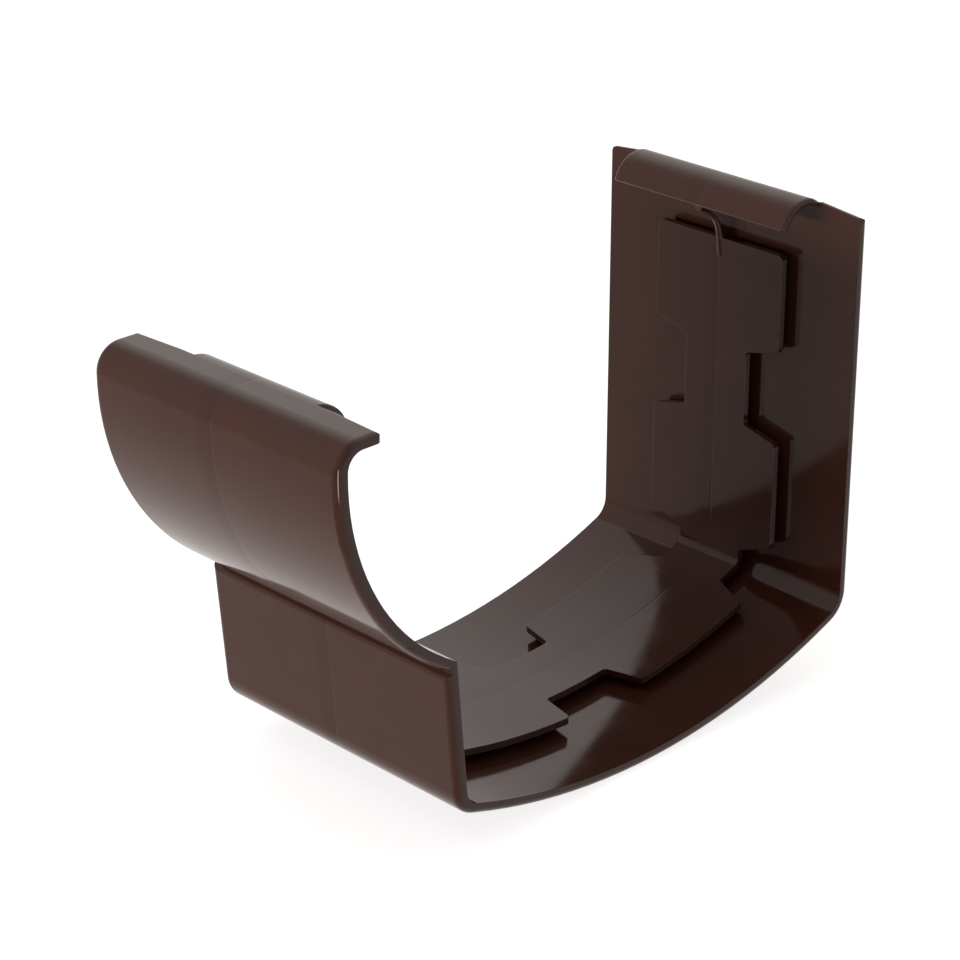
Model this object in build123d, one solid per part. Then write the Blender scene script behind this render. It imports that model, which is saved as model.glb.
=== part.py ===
from build123d import *
import os
from math import asin, atan2, cos, degrees, radians, sin, sqrt

# Rainwater gutter connector, moulded in one piece. Two gutter lengths slide in from the two ends,
# between the outer shell and the inner band, and stop against the web that joins them at mid-length.
# Millimetres. X runs along the gutter, +Y points to the back and +Z up.
# The origin is on the flat back face, at mid-length.

# Shell
run_length = 70.0
wall = 2.5
end_edge_round = 1.6

# Outer face in section: flat back, dished bottom, sloped lower front wall, bulge
back_corner_radius = 7.4
bottom_radius = 156.0
bottom_low_y = -63.4
bottom_low_z = -62.0
front_corner_radius = 6.6
front_wall_top_y = -120.15
front_wall_top_z = -21.9
front_wall_tilt = 5.0
bulge_radius = 54.5
bulge_foot_angle = 57.0
bulge_foot_length = 3.8547
inner_step_round = 0.4

# Narrow ledge where the lower front wall meets the bulge
ledge_depth = 1.2
ledge_rise = 1.09303
ledge_round = 1.0

# Lip along the top of the bulge, its free edge set back towards both ends
lip_top = 34.0
lip_radius = 5.8
lip_inner_radius = 3.7
lip_thickness = 1.9
lip_reach = 5.9
lip_edge_round = 1.2
lip_corner_round = 1.5
lip_level_length = 44.0
lip_set_back = 0.75

# Top of the back wall: level behind the hook, falling to both ends
back_top = 42.5
back_top_fall = 1.1
back_top_edge_round = 2.2
back_top_corner_round = 1.2

# Hooks along both top edges
hook_thickness = 1.3
hook_tip_round = 0.5
hook_end_round = 0.8
back_hook_length = 48.0
back_hook_root_radius = 6.6
back_hook_radius = 7.6
back_hook_top = 44.1
back_hook_sweep = 73.0
front_hook_length = 36.0
front_hook_radius = 8.0
front_hook_sweep = 71.0

# Inner band, a gutter's thickness inside the shell
gutter_slot = 1.9
band_thickness = 1.5
band_wide = 35.2
band_narrow = 17.2
band_top = 29.7
band_front_end = 17.0
band_corner_round = 1.3

# Notches in both edges of the band: root start, root end and how much wider each end of the mouth is,
# measured along the band's face from its top edge at the back
notches = [
    (24.1, 41.0, 2.2),
    (71.3, 80.5, 3.4),
    (118.4, 136.2, 2.1),
    (177.0, 186.5, 3.4),
    (209.5, 220.5, 2.2),
]
notch_root_round = 1.0

# Web between band and shell, and the rib that carries it on from the band's top to the back hook
web_thickness = 1.8
rib_foot = 4.7
rib_lean = 8.0
rib_straight = 5.0
rib_radius = 9.0
rib_nose_round = 0.8

# How far one piece reaches into the next, so that they are one solid
bond = 0.5


def unit(angle):
    """Direction in the section at an angle in degrees from +Y towards +Z."""
    return Vector(cos(radians(angle)), sin(radians(angle)))


def angle_from(centre, point):
    return degrees(atan2(point.Y - centre.Y, point.X - centre.X))


def arc(centre, radius, start, end):
    return CenterArc(centre, radius, start, end - start)


# Fixed points of the section. Each face of the part is the outer face moved inwards by an inset
bottom_centre = Vector(bottom_low_y, bottom_low_z + bottom_radius)
back_corner_y = -back_corner_radius
back_corner_drop = sqrt((bottom_radius - back_corner_radius) ** 2 - (back_corner_y - bottom_low_y) ** 2)
back_corner_centre = Vector(back_corner_y, bottom_centre.Y - back_corner_drop)
back_corner_angle = angle_from(bottom_centre, back_corner_centre)

front_wall_top = Vector(front_wall_top_y, front_wall_top_z)
front_wall_up = unit(90 + front_wall_tilt)
front_wall_inward = unit(front_wall_tilt)

# The bulge's straight foot rises from the ledge's root and runs on into its arc without a corner
foot_inward = unit(bulge_foot_angle)
foot_up = unit(bulge_foot_angle + 90)
ledge_root = front_wall_top + Vector(ledge_depth, ledge_rise)
bulge_centre = ledge_root + foot_up * bulge_foot_length + foot_inward * bulge_radius

front_corner_start = front_wall_top + front_wall_inward * front_corner_radius
front_corner_rise = (bottom_centre - front_corner_start).dot(front_wall_up)
front_corner_miss = (bottom_centre - front_corner_start).dot(front_wall_inward)
front_corner_drop = sqrt((bottom_radius - front_corner_radius) ** 2 - front_corner_miss ** 2)
front_corner_centre = front_corner_start + front_wall_up * (front_corner_rise - front_corner_drop)
front_corner_angle = angle_from(bottom_centre, front_corner_centre)


def bulge_foot(inset):
    """Where the bulge's arc at this inset runs on into the straight face at its foot."""
    return bulge_centre - foot_inward * (bulge_radius - inset)


def step(inset):
    """Where the front wall's face at this inset meets the straight face at the bulge's foot."""
    start = front_wall_top + front_wall_inward * inset
    gap = (bulge_foot(inset) - start).dot(foot_inward)
    return start + front_wall_up * (gap / front_wall_up.dot(foot_inward))


def lower_face(inset, top):
    """Edges of the face at this inset: back wall from its top, bottom, front wall up to the bulge."""
    foot = front_corner_centre - front_wall_inward * (front_corner_radius - inset)
    return [
        Line((-inset, top), (-inset, back_corner_centre.Y)),
        arc(back_corner_centre, back_corner_radius - inset, 0, back_corner_angle),
        arc(bottom_centre, bottom_radius - inset, back_corner_angle, front_corner_angle),
        arc(front_corner_centre, front_corner_radius - inset, front_corner_angle, front_wall_tilt - 180),
        Line(foot, step(inset)),
        Line(step(inset), bulge_foot(inset)),
    ]


def lip_corner(inset, lip_z, radius):
    """Centre of the round corner between the bulge's face at this inset and the lip's face."""
    rise = lip_z - radius - bulge_centre.Y
    run = sqrt((bulge_radius - inset - radius) ** 2 - rise ** 2)
    return Vector(bulge_centre.X - run, lip_z - radius)


lip_edge_y = lip_corner(0, lip_top, lip_radius).X + lip_reach


def bulge_to_lip(inset, lip_z, radius):
    """Edges of the bulge's face at this inset, round the lip's corner and along the lip."""
    corner = lip_corner(inset, lip_z, radius)
    rise = corner.Y - bulge_centre.Y
    turn = -180 - degrees(asin(rise / (bulge_radius - inset - radius)))
    return [
        arc(bulge_centre, bulge_radius - inset, bulge_foot_angle - 180, turn),
        arc(corner, radius, turn, -270),
        Line((corner.X, lip_z), (lip_edge_y, lip_z)),
    ]


def bulge_to_height(inset, height):
    """Edge of the bulge's face at this inset, from its foot up to a height."""
    radius = bulge_radius - inset
    end = -180 - degrees(asin((height - bulge_centre.Y) / radius))
    return [arc(bulge_centre, radius, bulge_foot_angle - 180, end)]


def strip(outer, inner):
    """Face between two chains of edges that run the same way."""
    caps = [Line(outer[0] @ 0, inner[0] @ 0), Line(outer[-1] @ 1, inner[-1] @ 1)]
    return make_face(outer + inner + caps)


def along_run(face, length):
    """Solid of a section, centred on mid-length."""
    return extrude(Plane.YZ * face, amount=length / 2, both=True)


def near(items, point, reach=0.05):
    return [item for item in items if (item.center() - Vector(point)).length < reach]


# Shell
outer_chain = lower_face(0, back_top) + bulge_to_lip(0, lip_top, lip_radius)
inner_chain = lower_face(wall, back_top) + bulge_to_lip(wall, lip_top - lip_thickness, lip_inner_radius)
shell_face = strip(outer_chain, inner_chain)
shell_face = fillet(near(shell_face.vertices(), step(wall)), inner_step_round)

# Ledge: the front wall's top edge stands out in front of the bulge's foot
ledge_out = (front_wall_top - ledge_root).normalized()
ledge_reach = 3 * ledge_depth
shell_face -= make_face(Polyline(
    ledge_root,
    ledge_root + ledge_out * ledge_reach,
    ledge_root + foot_up * ledge_reach,
    close=True,
))
shell_face = fillet(near(shell_face.vertices(), front_wall_top), ledge_round)
shell = along_run(shell_face, run_length)
half_run = run_length / 2


def edge_tool(points, up, radius, depth):
    """Tool that rounds the edge along a path and clears what stands out beyond it, down to a depth."""
    kept = Pos(-2 * depth, -2 * depth) * Rectangle(4 * depth, 4 * depth)
    kept = fillet(near(kept.vertices(), (0, 0)), radius)
    waste = Rectangle(2 * radius, radius + depth, align=(Align.CENTER, Align.MIN))
    waste = Pos(0, -depth) * waste - kept
    plane = Plane(points @ 0, x_dir=up, z_dir=points % 0)
    return sweep(plane * waste, path=points, transition=Transition.RIGHT)


# Outer edges of both ends, round the whole section
end_path = Pos(half_run, 0, 0) * (Plane.YZ * Wire(outer_chain))
end_tool = edge_tool(end_path, (0, 1, 0), end_edge_round, end_edge_round)
shell -= end_tool
shell -= mirror(end_tool, Plane.YZ)

# Lip's free edge: straight in the middle, set back towards both ends
lip_level = lip_level_length / 2
lip_path = Wire(Polyline(
    (-half_run, lip_edge_y - lip_set_back, lip_top),
    (-lip_level, lip_edge_y, lip_top),
    (lip_level, lip_edge_y, lip_top),
    (half_run, lip_edge_y - lip_set_back, lip_top),
))
shell -= edge_tool(lip_path, (0, 1, 0), lip_edge_round, 2 * wall)

# Back wall's top: level behind the hook, falling to both ends, rounded over to the back
hook_half = back_hook_length / 2
end_top = back_top - back_top_fall
back_top_path = Wire(Polyline(
    (half_run, 0, end_top),
    (hook_half, 0, back_top),
    (-hook_half, 0, back_top),
    (-half_run, 0, end_top),
))
shell -= edge_tool(back_top_path, (0, 0, 1), back_top_edge_round, 2 * wall)


# Corners at both ends of the back wall's top and of the lip
def corner_tool(plane, radius, depth):
    """Tool that rounds the upper right corner at a plane's origin, right through the wall."""
    waste = Rectangle(radius, radius, align=(Align.MAX, Align.MAX)) - Pos(-radius, -radius) * Circle(radius)
    return extrude(plane * waste, amount=depth, both=True)


def fall_before_corner(fall, level_half, radius):
    """How much an edge has fallen from its level middle where its end corner's round starts."""
    return fall * (half_run - radius - level_half) / (half_run - level_half)


top_corner_z = back_top - fall_before_corner(back_top_fall, hook_half, back_top_corner_round)
lip_corner_y = lip_edge_y - fall_before_corner(lip_set_back, lip_level, lip_corner_round)
top_corner_plane = Plane((half_run, 0, top_corner_z), x_dir=(1, 0, 0), z_dir=(0, -1, 0))
lip_corner_plane = Plane((half_run, lip_corner_y, lip_top), x_dir=(1, 0, 0), z_dir=(0, 0, 1))
for tool in (
    corner_tool(top_corner_plane, back_top_corner_round, 2 * wall),
    corner_tool(lip_corner_plane, lip_corner_round, 2 * wall),
):
    shell -= tool
    shell -= mirror(tool, Plane.YZ)


def hook(outer, inner, length):
    """Curled strip with its tip and the outer edges of its ends rounded."""
    solid = along_run(strip(outer, inner), length)
    edges = []
    for side in (-1, 1):
        for line in outer:
            middle = line @ 0.5
            edges += near(solid.edges(), (side * length / 2, middle.X, middle.Y))
    solid = fillet(edges, hook_end_round)
    edges = []
    for tip in (outer[-1] @ 1, inner[-1] @ 1):
        edges += near(solid.edges(), (0, tip.X, tip.Y))
    return fillet(edges, hook_tip_round)


# Back hook: its outer face leaves the back, rises over the top edge and curls to the front
root_centre = Vector(-back_hook_root_radius, back_hook_top - back_hook_root_radius)
curl_centre = Vector(-back_hook_root_radius, back_hook_top - back_hook_radius)


def back_hook_arcs(inset):
    return [
        arc(root_centre, back_hook_root_radius - inset, 0, 90),
        arc(curl_centre, back_hook_radius - inset, 90, 90 + back_hook_sweep),
    ]


# The top of the wall behind the hook gives way to the hook's round root
behind = make_face([
    Line((0, root_centre.Y), (wall, root_centre.Y)),
    Line((wall, root_centre.Y), (wall, back_hook_top + wall)),
    Line((wall, back_hook_top + wall), (root_centre.X, back_hook_top + wall)),
    Line((root_centre.X, back_hook_top + wall), (root_centre.X, back_hook_top)),
    arc(root_centre, back_hook_root_radius, 90, 0),
])
shell -= along_run(behind, back_hook_length)
back_hook = hook(back_hook_arcs(0), back_hook_arcs(hook_thickness), back_hook_length)

# Front hook: carries the lip's top on inwards and curls down
front_curl_centre = Vector(lip_edge_y - lip_edge_round, lip_top - front_hook_radius)


def front_hook_arc(inset):
    return [arc(front_curl_centre, front_hook_radius - inset, 90, 90 - front_hook_sweep)]


front_hook = hook(front_hook_arc(0), front_hook_arc(hook_thickness), front_hook_length)

# Band, with notched edges
band_front = gutter_slot + wall + band_thickness
band_back = gutter_slot + wall
face_chain = lower_face(band_front, band_top) + bulge_to_height(band_front, band_front_end)
rear_chain = lower_face(band_back, band_top) + bulge_to_height(band_back, band_front_end)
band = along_run(strip(rear_chain, face_chain), band_wide)
face_wire = Wire(face_chain)
notch_depth = (band_wide - band_narrow) / 2


def flank(position, flare, reach, side):
    """Tool for one end of a notch: square to the band's face, running on into the notch."""
    point = face_wire.position_at(position, position_mode=PositionMode.LENGTH)
    tangent = face_wire.tangent_at(position, position_mode=PositionMode.LENGTH)
    root = band_narrow / 2
    mouth = root + 2 * notch_depth
    outline = Polyline(
        (side * root, 0),
        (side * root, reach),
        (side * mouth, reach),
        (side * mouth, -2 * flare),
        close=True,
    )
    tool = fillet(near(make_face(outline).vertices(), (side * root, 0)), notch_root_round)
    plane = Plane((0, point.X, point.Y), x_dir=(1, 0, 0), z_dir=(0, -tangent.Y, tangent.X))
    return plane, tool


def notch_tools(start, end, flare):
    """Tools that cut one notch into both edges of the band."""
    reach = (end - start) / 2 + 1.0 + notch_root_round
    depth = 2 * band_thickness + notch_root_round
    tools = []
    for side in (-1, 1):
        plane, tool = flank(start, flare, reach, side)
        tools.append(extrude(plane * tool, amount=depth, both=True))
        plane, tool = flank(end, flare, reach, side)
        tools.append(extrude(plane * mirror(tool, Plane.XZ), amount=depth, both=True))
    return tools


for start, end, flare in notches:
    for tool in notch_tools(start, end, flare):
        band -= tool

corner_edges = []
for edge in band.edges():
    on_side = abs(abs(edge.center().X) - band_wide / 2) < 0.01
    if on_side and edge.bounding_box().size.X < 0.01 and edge.length < 1.2 * band_thickness:
        corner_edges.append(edge)
band = fillet(corner_edges, band_corner_round)

# Web along the whole band
web_chain = lower_face(wall - bond, band_top) + bulge_to_height(wall - bond, band_front_end)
web_inner = lower_face(band_back + bond, band_top) + bulge_to_height(band_back + bond, band_front_end)
web = along_run(strip(web_chain, web_inner), web_thickness)

# Rib: stands on the band's face, leans forward and curves out to the hook's tip
half_hook = hook_thickness / 2
foot = Vector(-band_front, band_top - rib_foot)
rib_line = Line(foot, foot + unit(90 + rib_lean) * rib_straight)
rib_turn_centre = rib_line @ 1 + unit(180 + rib_lean) * rib_radius
hook_middle = back_hook_arcs(half_hook)
tip = hook_middle[1] @ 1
rib_curve = arc(rib_turn_centre, rib_radius, rib_lean, 90 - 2 * rib_lean)
rib_back = Vector(-wall + bond, foot.Y)
rib_face = make_face([
    Line(rib_back, foot),
    rib_line,
    rib_curve,
    Line(rib_curve @ 1, tip),
    hook_middle[1],
    hook_middle[0],
    Line(hook_middle[0] @ 0, rib_back),
])
rib = along_run(rib_face, web_thickness)
nose_edges = []
for side in (-1, 1):
    for line in (rib_line, rib_curve):
        middle = line @ 0.5
        nose_edges += near(rib.edges(), (side * web_thickness / 2, middle.X, middle.Y))
rib = fillet(nose_edges, rib_nose_round)

connector = shell + back_hook + front_hook + band + web + rib

os.makedirs("parts", exist_ok=True)
export_step(connector, "parts/gutter_connector.step")
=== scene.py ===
import bpy
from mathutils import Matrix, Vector


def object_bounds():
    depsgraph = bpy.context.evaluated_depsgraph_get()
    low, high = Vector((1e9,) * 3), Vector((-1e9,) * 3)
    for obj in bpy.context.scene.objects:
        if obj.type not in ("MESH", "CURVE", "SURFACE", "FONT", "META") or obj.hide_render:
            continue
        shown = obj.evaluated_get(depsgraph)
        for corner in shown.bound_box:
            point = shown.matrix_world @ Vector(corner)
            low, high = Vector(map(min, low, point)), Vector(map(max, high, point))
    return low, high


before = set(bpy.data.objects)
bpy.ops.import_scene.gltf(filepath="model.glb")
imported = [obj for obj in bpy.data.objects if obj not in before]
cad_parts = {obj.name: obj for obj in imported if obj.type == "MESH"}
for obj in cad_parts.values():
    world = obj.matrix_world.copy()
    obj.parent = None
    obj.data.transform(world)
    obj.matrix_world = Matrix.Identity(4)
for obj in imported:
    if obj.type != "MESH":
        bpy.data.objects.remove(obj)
cad_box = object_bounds()
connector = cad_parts["gutter_connector"]
scene = bpy.context.scene

# Metres per millimetre
MM = 0.001


def linear(hex_colour):
    """sRGB hex colour as a linear colour with alpha."""
    channels = [int(hex_colour[i:i + 2], 16) / 255 for i in (0, 2, 4)]
    return [c / 12.92 if c <= 0.04045 else ((c + 0.055) / 1.055) ** 2.4 for c in channels] + [1.0]


def add_node(tree, kind, settings=None, links=None):
    """Adds a node to a tree, with values for its settings and inputs, and links into its inputs."""
    node = tree.nodes.new(kind)
    for name, value in (settings or {}).items():
        if isinstance(name, int) or name in node.inputs:
            node.inputs[name].default_value = value
        else:
            setattr(node, name, value)
    for name, socket in (links or {}).items():
        tree.links.new(socket, node.inputs[name])
    return node


def new_material(name):
    """Empty node material."""
    material = bpy.data.materials.new(name)
    material.use_nodes = True
    material.node_tree.nodes.clear()
    return material


# Camera: long lens, looking down on the connector from its front right
camera_data = bpy.data.cameras.new("camera")
camera_data.lens = 109.8
camera_data.sensor_width = 36
camera = bpy.data.objects.new("camera", camera_data)
camera.location = (0.38777, -0.45742, 0.23837)
view_direction = Vector((-0.65204, 0.63853, -0.40880))
camera.rotation_euler = view_direction.to_track_quat("-Z", "Y").to_euler()
scene.collection.objects.link(camera)
scene.camera = camera


def moulded_pvc():
    """Brown rigid PVC, injection moulded: dark pigment under a smooth, hard, glossy skin.

    The skin copies a polished steel mould, so reflections stay sharp, with a slight waviness
    where the melt cooled unevenly and a faint sink line over the stop web.
    """
    pvc_ior = 1.53
    dark_brown = "3C2019"
    light_brown = "47271E"
    glossy = 0.08
    less_glossy = 0.12
    # Sink line: a narrow crease at mid-length, at the end of a shallow hollow on the left
    crease_half_width = 0.28 * MM
    crease_depth = 0.02 * MM
    hollow_width = 5.0 * MM
    hollow_depth = 0.05 * MM
    # Painted shade: the colour darkens towards the web on the left, over the sink hollow, and stops
    # at mid-length
    sink_shade_width = 6.0 * MM
    sink_shade_strength = 0.4
    sink_shade_edge = 0.1 * MM
    # Patches of gloss and pigment
    patch_size = 9 * MM
    patch_low = 0.3
    patch_high = 0.7
    # Mould edges are broken by about 0.2 mm, which gives each one a thin highlight
    edge_radius = 0.18 * MM

    material = new_material("moulded_pvc_brown")
    tree = material.node_tree
    place = add_node(tree, "ShaderNodeTexCoord").outputs["Object"]
    along = add_node(tree, "ShaderNodeSeparateXYZ", links={0: place}).outputs["X"]
    off_middle = add_node(tree, "ShaderNodeMath", {"operation": "ABSOLUTE"}, {0: along}).outputs[0]
    patches = add_node(tree, "ShaderNodeTexNoise", {
        "Scale": 1 / patch_size,
        "Detail": 3.0,
    }, {"Vector": place}).outputs["Fac"]

    # Each row: name, the value it follows, that value's start and end, the result at each
    ramps = {}
    for name, value, start, end, at_start, at_end in (
        ("crease", off_middle, 0.0, crease_half_width, -crease_depth, 0.0),
        ("hollow", along, -hollow_width, 0.0, 0.0, -hollow_depth),
        ("gloss", patches, patch_low, patch_high, glossy, less_glossy),
        ("sink_shade", along, -sink_shade_width, -sink_shade_edge, 0.0, sink_shade_strength),
        ("sink_shade_end", along, -sink_shade_edge, sink_shade_edge, 1.0, 0.0),
    ):
        ramps[name] = add_node(tree, "ShaderNodeMapRange", {
            "interpolation_type": "SMOOTHSTEP",
            "From Min": start,
            "From Max": end,
            "To Min": at_start,
            "To Max": at_end,
        }, {"Value": value}).outputs[0]

    # Relief: the sink line, then two layers of noise on it
    relief = add_node(tree, "ShaderNodeMath", {"operation": "ADD"}, {
        0: ramps["crease"],
        1: ramps["hollow"],
    }).outputs[0]
    for spacing, detail, roughness, height in (
        # Waviness of the cooled skin, about 18 mm from crest to crest
        (18 * MM, 1.0, 0.4, 0.02 * MM),
        # Fine grain of the mould steel: about 0.05 mm in the real one, drawn at 0.5 mm to show
        (0.5 * MM, 2.0, 0.5, 0.0004 * MM),
    ):
        noise = add_node(tree, "ShaderNodeTexNoise", {
            "Scale": 1 / spacing,
            "Detail": detail,
            "Roughness": roughness,
        }, {"Vector": place}).outputs["Fac"]
        layer = add_node(tree, "ShaderNodeMath", {
            "operation": "MULTIPLY",
            1: height,
        }, {0: noise}).outputs[0]
        relief = add_node(tree, "ShaderNodeMath", {"operation": "ADD"}, {
            0: relief,
            1: layer,
        }).outputs[0]
    edge = add_node(tree, "ShaderNodeBevel", {"samples": 6, "Radius": edge_radius}).outputs[0]
    bump = add_node(tree, "ShaderNodeBump", {"Strength": 1.0, "Distance": 1.0}, {
        "Height": relief,
        "Normal": edge,
    }).outputs[0]

    # Painted shade of the sink hollow, taken off the pigment towards the web
    sink_shade = add_node(tree, "ShaderNodeMath", {"operation": "MULTIPLY"}, {
        0: ramps["sink_shade"],
        1: ramps["sink_shade_end"],
    }).outputs[0]
    shade = add_node(tree, "ShaderNodeMath", {"operation": "SUBTRACT"}, {
        0: patches,
        1: sink_shade,
    }).outputs[0]
    # Inputs 6 and 7 are the two colours, and output 2 is the mixed one
    pigment = add_node(tree, "ShaderNodeMix", {
        "data_type": "RGBA",
        6: linear(dark_brown),
        7: linear(light_brown),
    }, {0: shade}).outputs[2]

    skin = add_node(tree, "ShaderNodeBsdfPrincipled", {"IOR": pvc_ior}, {
        "Base Color": pigment,
        "Roughness": ramps["gloss"],
        "Normal": bump,
    })
    add_node(tree, "ShaderNodeOutputMaterial", links={"Surface": skin.outputs["BSDF"]})
    return material


connector.material_slots[0].material = moulded_pvc()


def studio_floor():
    """Matt white paper sheet under the object, which shows as plain white with a soft shadow."""
    half_size = 3.0
    height = cad_box[0][2]
    paper_colour = "F4F4F4"
    # Brings the lit paper up to plain white for the camera, and keeps the shadow
    glow_strength = 0.78

    mesh = bpy.data.meshes.new("floor")
    corners = [
        (x * half_size, y * half_size, height)
        for x, y in ((-1, -1), (1, -1), (1, 1), (-1, 1))
    ]
    mesh.from_pydata(corners, [], [(0, 1, 2, 3)])
    floor = bpy.data.objects.new("floor", mesh)
    # Reflections show the surround in the floor's place, also below the horizon
    floor.visible_glossy = False
    scene.collection.objects.link(floor)

    material = new_material("white_paper")
    tree = material.node_tree
    paper = add_node(tree, "ShaderNodeBsdfDiffuse", {"Color": linear(paper_colour)})
    rays = add_node(tree, "ShaderNodeLightPath").outputs
    seen = add_node(tree, "ShaderNodeMath", {"operation": "MAXIMUM"}, {
        0: rays["Is Camera Ray"],
        1: rays["Is Transmission Ray"],
    }).outputs[0]
    strength = add_node(tree, "ShaderNodeMath", {
        "operation": "MULTIPLY",
        1: glow_strength,
    }, {0: seen}).outputs[0]
    glow = add_node(tree, "ShaderNodeEmission", {"Color": (1, 1, 1, 1)}, {"Strength": strength})
    both = add_node(tree, "ShaderNodeAddShader", links={0: paper.outputs[0], 1: glow.outputs[0]})
    add_node(tree, "ShaderNodeOutputMaterial", links={"Surface": both.outputs[0]})
    mesh.materials.append(material)


studio_floor()


def soft_lamp(name, position, aim, width, height, power):
    """Rectangular soft box that lights the object and is hidden from reflections."""
    lamp_data = bpy.data.lights.new(name, "AREA")
    lamp_data.shape = "RECTANGLE"
    lamp_data.size = width
    lamp_data.size_y = height
    lamp_data.energy = power
    lamp = bpy.data.objects.new(name, lamp_data)
    lamp.location = position
    lamp.rotation_euler = (Vector(aim) - Vector(position)).to_track_quat("-Z", "Y").to_euler()
    lamp.visible_glossy = False
    scene.collection.objects.link(lamp)


def studio_light():
    """Surround graded by direction, a low soft box in front of the object and one above it.

    The camera sees plain white. Reflections and soft light see the graded surround, which is
    bright behind the object, and darker in front of it and to its right.
    """
    surround_tint = "FFF9F5"
    # Level direction at right angles to the way to the strip
    across_strip = (0.71, 0.70, 0.0)

    world = bpy.data.worlds.new("white_surround")
    world.use_nodes = True
    tree = world.node_tree
    tree.nodes.clear()
    rays = add_node(tree, "ShaderNodeLightPath").outputs
    outward = add_node(tree, "ShaderNodeTexCoord").outputs["Generated"]
    right, back, up = add_node(tree, "ShaderNodeSeparateXYZ", links={0: outward}).outputs
    across = add_node(tree, "ShaderNodeVectorMath", {
        "operation": "DOT_PRODUCT",
        1: across_strip,
    }, {0: outward}).outputs["Value"]
    across = add_node(tree, "ShaderNodeMath", {"operation": "ABSOLUTE"}, {0: across}).outputs[0]

    # Each row: name, the value it follows, that value's start and end, the result at each
    ramps = {}
    for name, value, start, end, at_start, at_end in (
        # Brightness of the surround low down and higher up, from the front to the back
        ("low", back, -1.1, 0.3, 0.25, 0.88),
        ("high", back, -0.1, 0.6, 0.45, 0.96),
        ("high_far_back", back, 0.6, 0.8, 1.0, 0.66),
        # Share of the higher brightness
        ("high_share", up, -0.25, 0.2, 0.0, 1.0),
        # Less to the right, and less for soft light than for reflections
        ("to_the_right", right, -0.3, 0.5, 1.0, 0.68),
        ("soft_light", rays["Is Diffuse Ray"], 0.0, 1.0, 1.0, 0.62),
        # Narrow upright strip at the front right, from 30 degrees below the horizon up to it
        ("strip", across, 0.04, 0.12, 8.0, 0.0),
        ("strip_side", right, 0.2, 0.3, 0.0, 1.0),
        ("strip_foot", up, -0.52, -0.44, 0.0, 1.0),
        ("strip_head", up, -0.12, 0.04, 1.0, 0.0),
    ):
        ramps[name] = add_node(tree, "ShaderNodeMapRange", {
            "interpolation_type": "SMOOTHSTEP",
            "From Min": start,
            "From Max": end,
            "To Min": at_start,
            "To Max": at_end,
        }, {"Value": value}).outputs[0]

    # Each row: name of the result, operation, the two results it takes
    for name, operation, first, second in (
        ("high", "MULTIPLY", "high", "high_far_back"),
        ("rise", "SUBTRACT", "high", "low"),
        ("rise", "MULTIPLY", "rise", "high_share"),
        ("level", "ADD", "low", "rise"),
        ("level", "MULTIPLY", "level", "to_the_right"),
        ("level", "MULTIPLY", "level", "soft_light"),
        ("strip", "MULTIPLY", "strip", "strip_side"),
        ("strip", "MULTIPLY", "strip", "strip_foot"),
        ("strip", "MULTIPLY", "strip", "strip_head"),
    ):
        ramps[name] = add_node(tree, "ShaderNodeMath", {"operation": operation}, {
            0: ramps[first],
            1: ramps[second],
        }).outputs[0]

    # Only reflections see the strip, as thin highlights along rounded edges
    strip = add_node(tree, "ShaderNodeMath", {"operation": "MULTIPLY"}, {
        0: ramps["strip"],
        1: rays["Is Glossy Ray"],
    }).outputs[0]
    strength = add_node(tree, "ShaderNodeMath", {"operation": "ADD"}, {
        0: ramps["level"],
        1: strip,
    }).outputs[0]
    surround = add_node(tree, "ShaderNodeBackground", {"Color": linear(surround_tint)}, {
        "Strength": strength,
    })
    plain = add_node(tree, "ShaderNodeBackground", {"Color": (1, 1, 1, 1), "Strength": 1.0})
    # Reflections aren't in this mask: they see the graded surround, not the plain white
    seen = add_node(tree, "ShaderNodeMath", {"operation": "MAXIMUM"}, {
        0: rays["Is Camera Ray"],
        1: rays["Is Transmission Ray"],
    }).outputs[0]
    mixed = add_node(tree, "ShaderNodeMixShader", links={
        0: seen,
        1: surround.outputs[0],
        2: plain.outputs[0],
    })
    add_node(tree, "ShaderNodeOutputWorld", links={"Surface": mixed.outputs[0]})
    scene.world = world

    soft_lamp("front_soft_box", position=(-0.20, -1.60, 0.03), aim=(0.0, -0.14, 0.0),
              width=0.9, height=0.16, power=17.5)
    soft_lamp("top_soft_box", position=(-0.30, -0.50, 1.20), aim=(0.0, -0.07, 0.0),
              width=0.8, height=0.8, power=1.8)


studio_light()

scene.view_settings.view_transform = "Standard"
